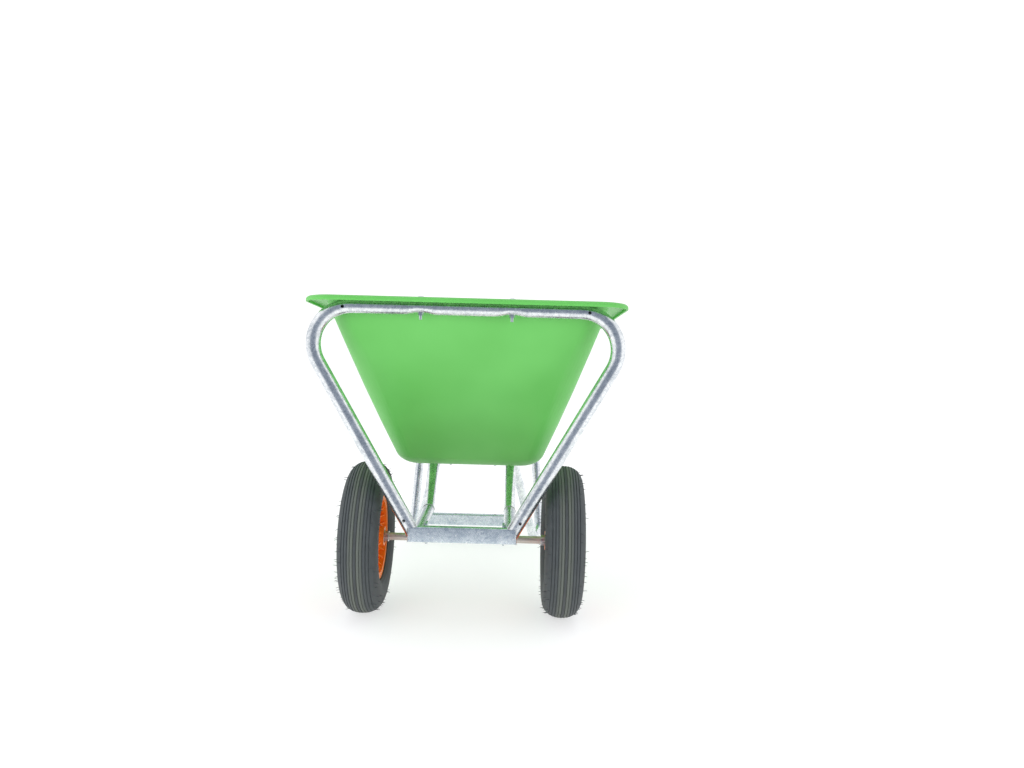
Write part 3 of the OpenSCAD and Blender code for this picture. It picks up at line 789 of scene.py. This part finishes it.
grip_outline = [(0.0, grip_r - 0.004), (-0.0012, grip_r - 0.0012), (-0.0035, grip_r)]
for n in range(rib_count):
    from_end = -rib_first - rib_pitch * n
    grip_outline += [
        (from_end, grip_r),
        (from_end - 0.0012, grip_r - rib_depth),
        (from_end - 0.0030, grip_r - rib_depth),
        (from_end - 0.0042, grip_r),
    ]
grip_outline += [
    (0.003 - grip_length, grip_r),
    (-grip_length, grip_r - 0.0008),
    (-grip_length, grip_bore),
    (-grip_cap, grip_bore),
    (-grip_cap, 0.0002),
    (0.0, 0.0002),
]
for side, label in ((-1, "right"), (1, "left")):
    end = Vector((side * grip_end.x, grip_end.y, grip_end.z))
    sleeve = lathe(f"grip_sleeve_{label}", grip_outline, end, grip_run, 40)
    smooth(sleeve, 35)
    fit(sleeve, "frame", "grip_rubber", grip_material, f"grip_{label}")

# ---------------------------------------------------------------------------------------
# The axle. A drawn bar, left bare and browned by weather, with galvanised collars inside
# the wheels and a washer and a split pin outside each one.
# ---------------------------------------------------------------------------------------


def drawn_bar(tree, at):
    # Drawn steel gone dull: brownish grey, with fine lines along the bar and rust freckles.
    stretched = add(tree, "ShaderNodeMapping", {"Vector": at, "Scale": (20.0, 900.0, 900.0)})
    lines = add(
        tree,
        "ShaderNodeTexNoise",
        {"Vector": (stretched, "Vector"), "Scale": 1.0, "Detail": 3.0},
    )
    colour = add(
        tree, "ShaderNodeValToRGB", {"Fac": (lines, "Fac")}, [(0.3, "#C9C1B9"), (0.7, "#EBE5DE")]
    )
    freckle = add(tree, "ShaderNodeTexNoise", {"Vector": at, "Scale": 1 / 0.004, "Detail": 4.0})
    spot = add(
        tree, "ShaderNodeMapRange", {"Value": (freckle, "Fac"), "From Min": 0.62, "From Max": 0.80}
    )
    final = add(
        tree,
        "ShaderNodeMix",
        {0: (spot, "Result"), 6: (colour, "Color"), 7: linear("#9A7F6B")},
        data_type="RGBA",
    )
    rough = add(tree, "ShaderNodeMapRange", {"Value": (lines, "Fac"), "To Min": 0.35, "To Max": 0.6})
    bump = add(tree, "ShaderNodeBump", {"Height": (lines, "Fac"), "Strength": 0.3, "Distance": 0.0002})
    return {
        "Base Color": (final, 2),
        "Roughness": (rough, "Result"),
        "Normal": (bump, "Normal"),
    }


bare_steel = finish_material("weathered_drawn_steel", {"Metallic": 0.7}, drawn_bar)
fit(from_node("axle_bar", "axle"), "frame", "axle_steel", bare_steel, "axle")
for name, node in (("collars", "axle_collars"), ("washers", "axle_washers"), ("pins", "split_pins")):
    fit(from_node(name, node), "frame", "zinc_plated", zinc_plate, node)

# ---------------------------------------------------------------------------------------
# The tyres. Small pneumatic barrow tyres with straight circumferential ribs, raised rings
# on their sidewalls, and the rubber hairs that the mould's vents leave on their shoulders.
# ---------------------------------------------------------------------------------------
tyre_lo, tyre_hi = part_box("tyre_left")
tyre_half = (tyre_hi.x - tyre_lo.x) / 2
tyre_mid = Vector(((tyre_lo.x + tyre_hi.x) / 2, axle_at.y, axle_at.z))
tyre_r = tyre_hi.z - axle_at.z
bead_r = 0.1015
flange_r = 0.1143
rim_half = 0.0318
casing = 0.006
casing_round = 2.3
groove_depth = 0.0025
groove_half = 0.0011
groove_first = 0.004
groove_step = 0.0075
groove_count = 5
rib_edge = 0.0006
bead_gap = 0.020
bead_rise = 0.010
ring_rows = (9, 10, 16)
ring_rise = 0.0008
hair_count = 170
hair_root = 0.0008
hair_tip = 0.0004
hair_sides = 5
hair_seed = random.Random(11)


def casing_point(turn, inset):
    """A point (across, radius) of the tyre's section, at a turn from the middle of the tread."""
    share = 2 / casing_round
    middle, high = (tyre_r + bead_r) / 2, (tyre_r - bead_r) / 2
    return (
        (tyre_half - inset) * math.copysign(abs(math.sin(turn)) ** share, math.sin(turn)),
        middle + (high - inset) * math.copysign(abs(math.cos(turn)) ** share, math.cos(turn)),
    )


def tread_radius(across):
    """Radius of the plain tread at a distance from its middle."""
    share = 1 - (abs(across) / tyre_half) ** casing_round
    return (tyre_r + bead_r) / 2 + (tyre_r - bead_r) / 2 * share ** (1 / casing_round)


tread = []
for n in range(groove_count):
    groove = groove_first + groove_step * n
    edge_r, far_r = tread_radius(groove - groove_half), tread_radius(groove + groove_half)
    floor_r = tread_radius(groove) - groove_depth
    tread += [
        (groove - groove_half - rib_edge, tread_radius(groove - groove_half - rib_edge)),
        (groove - groove_half, edge_r - 0.0005),
        (groove - groove_half + 0.0004, floor_r + 0.0002),
        (groove + groove_half - 0.0004, floor_r + 0.0002),
        (groove + groove_half, far_r - 0.0005),
        (groove + groove_half + rib_edge, tread_radius(groove + groove_half + rib_edge)),
        (groove + groove_step / 2, tread_radius(groove + groove_step / 2)),
    ]
flank = []
for n in range(26):
    turn = math.radians(56 + 4 * n)
    across, radius = casing_point(turn, 0.0)
    if radius < flange_r + 0.0006:
        break
    if across > tread[-1][0] and radius < tread[-1][1]:
        raised = ring_rise if n in ring_rows else 0.0
        flank.append((min(across + raised, tyre_half), radius))
half_section = tread + flank
half_section += [(rim_half - 0.0004, flange_r + 0.0003), (rim_half - 0.0004, bead_r + 0.0003)]
half_section += [(bead_gap, bead_r + 0.0003), (bead_gap, bead_r + bead_rise)]
inner = []
for n in range(30):
    across, radius = casing_point(math.radians(180 - 6 * n), casing)
    if across > bead_gap and radius > bead_r + bead_rise:
        inner.append((across, radius))
inner_side = [*inner, casing_point(0.0, casing)]
section = half_section + inner_side + [(-a, r) for a, r in reversed(half_section + inner_side[:-1])]


def tyre_rubber(tree, at):
    # Tyre rubber: charcoal with pale dust held in two bands beside the middle rib and in the
    # grooves, a skin of about 1.2 mm, and broad scuffs of about 25 mm.
    parts = add(tree, "ShaderNodeSeparateXYZ", {"Vector": at})
    out = add(tree, "ShaderNodeMath", {0: (parts, "X")}, operation="ABSOLUTE")
    off = add(tree, "ShaderNodeMath", {0: (out, "Value"), 1: tyre_mid.x}, operation="SUBTRACT")
    across = add(tree, "ShaderNodeMath", {0: (off, "Value")}, operation="ABSOLUTE")
    share = add(
        tree, "ShaderNodeMath", {0: (across, "Value"), 1: tyre_half}, operation="DIVIDE"
    )
    bands = add(
        tree,
        "ShaderNodeValToRGB",
        {"Fac": (share, "Value")},
        [
            (0.04, "#3C4041"),
            (0.11, "#62675F"),
            (0.26, "#5A5F58"),
            (0.40, "#43484A"),
            (0.80, "#3E4345"),
            (1.0, "#36393B"),
        ],
    )
    scuff = add(tree, "ShaderNodeTexNoise", {"Vector": at, "Scale": 1 / 0.025, "Detail": 5.0})
    worn = add(
        tree, "ShaderNodeMapRange", {"Value": (scuff, "Fac"), "From Min": 0.35, "From Max": 0.75}
    )
    some = add(tree, "ShaderNodeMath", {0: (worn, "Result"), 1: 0.35}, operation="MULTIPLY")
    colour = add(
        tree,
        "ShaderNodeMix",
        {0: (some, "Value"), 6: (bands, "Color"), 7: linear("#5C6163")},
        data_type="RGBA",
    )
    rough = add(tree, "ShaderNodeMapRange", {"Value": (scuff, "Fac"), "To Min": 0.55, "To Max": 0.8})
    skin = add(tree, "ShaderNodeTexNoise", {"Vector": at, "Scale": 1 / 0.0012, "Detail": 3.0})
    bump = add(tree, "ShaderNodeBump", {"Height": (skin, "Fac"), "Strength": 0.35, "Distance": 0.0003})
    return {
        "Base Color": (colour, 2),
        "Roughness": (rough, "Result"),
        "Normal": (bump, "Normal"),
    }


tyre_material = finish_material("dusty_tyre_rubber", {"IOR": 1.52}, tyre_rubber)
for side, label in ((-1, "right"), (1, "left")):
    middle = Vector((side * tyre_mid.x, tyre_mid.y, tyre_mid.z))
    cover = lathe(f"tyre_cover_{label}", section, middle, (1, 0, 0), 120)
    smooth(cover, 35)
    bpy.ops.object.select_all(action="DESELECT")
    bpy.ops.mesh.primitive_cone_add(vertices=hair_sides, radius1=hair_root, radius2=hair_tip)
    hairs = bpy.context.object
    bpy.ops.object.mode_set(mode="EDIT")
    bpy.ops.mesh.delete(type="VERT")
    for n in range(hair_count):
        turn = math.tau * (n + hair_seed.uniform(-0.3, 0.3)) / hair_count
        lean = math.radians(hair_seed.choice((38, 44, 62, 78)))
        face = hair_seed.choice((-1, 1))
        across, radius = casing_point(lean, 0.0)
        length = hair_seed.uniform(0.004, 0.011)
        up = Vector((0, math.cos(turn), math.sin(turn)))
        curl = Vector((0, -math.sin(turn), math.cos(turn))) * hair_seed.uniform(-0.5, 0.5)
        go = (Vector((face, 0, 0)) + 0.15 * up + curl).normalized()
        root = middle + Vector((face * across, 0, 0)) + up * radius
        bpy.ops.mesh.primitive_cone_add(
            vertices=hair_sides,
            radius1=hair_root,
            radius2=hair_tip,
            depth=length,
            location=root + go * (length / 2 - 0.0003),
            rotation=go.to_track_quat("Z", "Y").to_euler(),
        )
    bpy.ops.object.mode_set(mode="OBJECT")
    cover.select_set(True)
    hairs.select_set(True)
    bpy.context.view_layer.objects.active = cover
    bpy.ops.object.join()
    fit(cover, f"wheel_{label}", "tyre_rubber", tyre_material, f"tyre_{label}")

# ---------------------------------------------------------------------------------------
# The wheels' rims. Each is two halves of moulded orange polypropylene, ribbed like a fan,
# bolted together round the tyre, with a nylon roller cage at each end of the hub and a valve.
# ---------------------------------------------------------------------------------------


def polypropylene(tree, at):
    # Moulded polypropylene: strong orange, half gloss, flow marks of about 30 mm and dust.
    flow = add(tree, "ShaderNodeTexNoise", {"Vector": at, "Scale": 1 / 0.030, "Detail": 3.0})
    colour = add(
        tree, "ShaderNodeValToRGB", {"Fac": (flow, "Fac")}, [(0.3, "#F2760F"), (0.7, "#FB851C")]
    )
    rough = add(tree, "ShaderNodeMapRange", {"Value": (flow, "Fac"), "To Min": 0.35, "To Max": 0.5})
    skin = add(tree, "ShaderNodeTexNoise", {"Vector": at, "Scale": 1 / 0.001, "Detail": 2.0})
    bump = add(tree, "ShaderNodeBump", {"Height": (skin, "Fac"), "Strength": 0.15, "Distance": 0.0002})
    return {
        "Base Color": (colour, "Color"),
        "Roughness": (rough, "Result"),
        "Normal": (bump, "Normal"),
    }


def nylon(tree, at):
    # Black nylon: dry, slightly mottled where grease has crept.
    mottle = add(tree, "ShaderNodeTexNoise", {"Vector": at, "Scale": 1 / 0.005, "Detail": 3.0})
    colour = add(
        tree, "ShaderNodeValToRGB", {"Fac": (mottle, "Fac")}, [(0.3, "#1C1D1F"), (0.7, "#2B2C2E")]
    )
    rough = add(tree, "ShaderNodeMapRange", {"Value": (mottle, "Fac"), "To Min": 0.3, "To Max": 0.55})
    return {"Base Color": (colour, "Color"), "Roughness": (rough, "Result")}


orange_polypropylene = finish_material("moulded_orange_polypropylene", {"IOR": 1.49}, polypropylene)
black_nylon = finish_material("black_nylon", {"IOR": 1.53}, nylon)
for label in ("left", "right"):
    wheel = f"wheel_{label}"
    for node, slot, material in (
        (f"rim_inner_half_{label}", "rim_orange", orange_polypropylene),
        (f"rim_outer_half_{label}", "rim_orange", orange_polypropylene),
        (f"rim_bolts_{label}", "zinc_plated", zinc_plate),
        (f"rim_nuts_{label}", "zinc_plated", zinc_plate),
        (f"bearing_inner_{label}", "bearing_black", black_nylon),
        (f"bearing_outer_{label}", "bearing_black", black_nylon),
        (f"inner_tube_{label}", "tube_rubber", grip_material),
        (f"valve_stem_{label}", "valve_black", grip_material),
        (f"valve_cap_{label}", "valve_black", black_nylon),
    ):
        fit(from_node(f"{node}_piece", node), wheel, slot, material, node)
